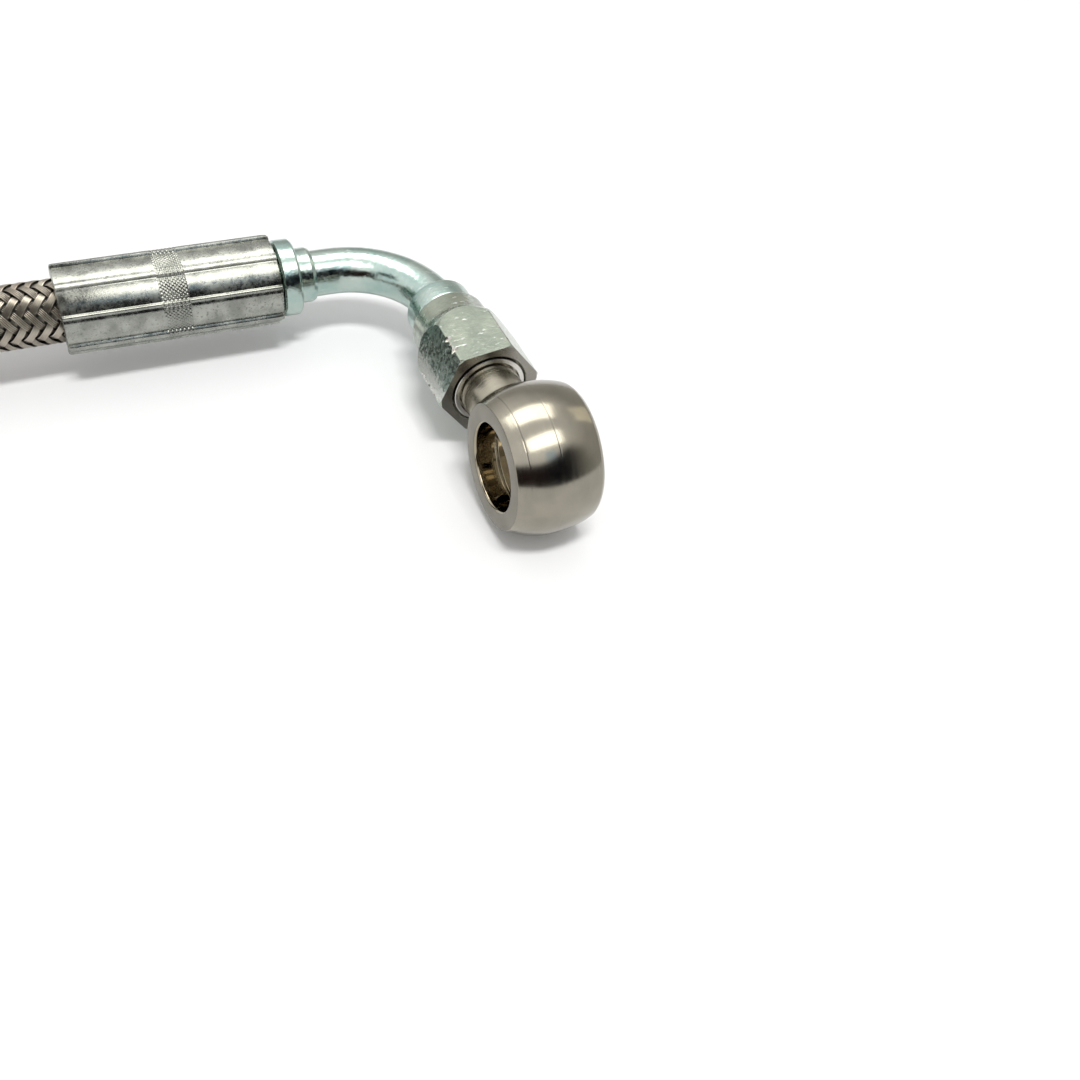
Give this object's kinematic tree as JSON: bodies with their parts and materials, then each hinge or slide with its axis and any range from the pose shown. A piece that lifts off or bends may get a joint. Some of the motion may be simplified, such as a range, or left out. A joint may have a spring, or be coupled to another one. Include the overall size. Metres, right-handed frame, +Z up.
{
  "type": "turbo oil feed line",
  "caption": "Coiled stainless-braided turbo oil feed line with a banjo eye on a right-angle swivel elbow and a straight swivel nut on its far end.",
  "frame": {"origin": "centre of the footprint of the banjo fitting, elbow and crimp shell, on the surface that the line lies on", "axes": "+X along the crimp shell from the hose towards the elbow, -Y along the swivel nut towards the banjo eye, +Z up"},
  "size_m": [0.1942, 0.1806, 0.0209],
  "materials": {
    "stainless": "turned stainless, satin",
    "zinc": "clear blue-green zinc plating, worn",
    "crimped": "plated steel, pressed and mottled",
    "braid": "woven stainless wire",
    "liner": "fluoropolymer tube",
    "wire": "drawn spring wire",
    "nylon": "moulded nylon"
  },
  "bodies": {
    "root": {"banjo_fitting": "stainless", "swivel_nut": "zinc", "thrust_wire": "wire", "cone_nipple": "zinc", "elbow_tube": "zinc", "hose_stem": "zinc", "crimp_shell": "crimped", "braid_end": "braid", "liner_end": "liner", "hose_lead": "braid", "hose_coil": "braid", "hose_top": "braid", "coil_tie": "nylon", "far_crimp_shell": "crimped", "far_braid_end": "braid", "far_liner_end": "liner", "far_hose_stem": "zinc", "far_swivel_nut": "zinc", "far_thrust_wire": "wire"}
  },
  "joints": []
}
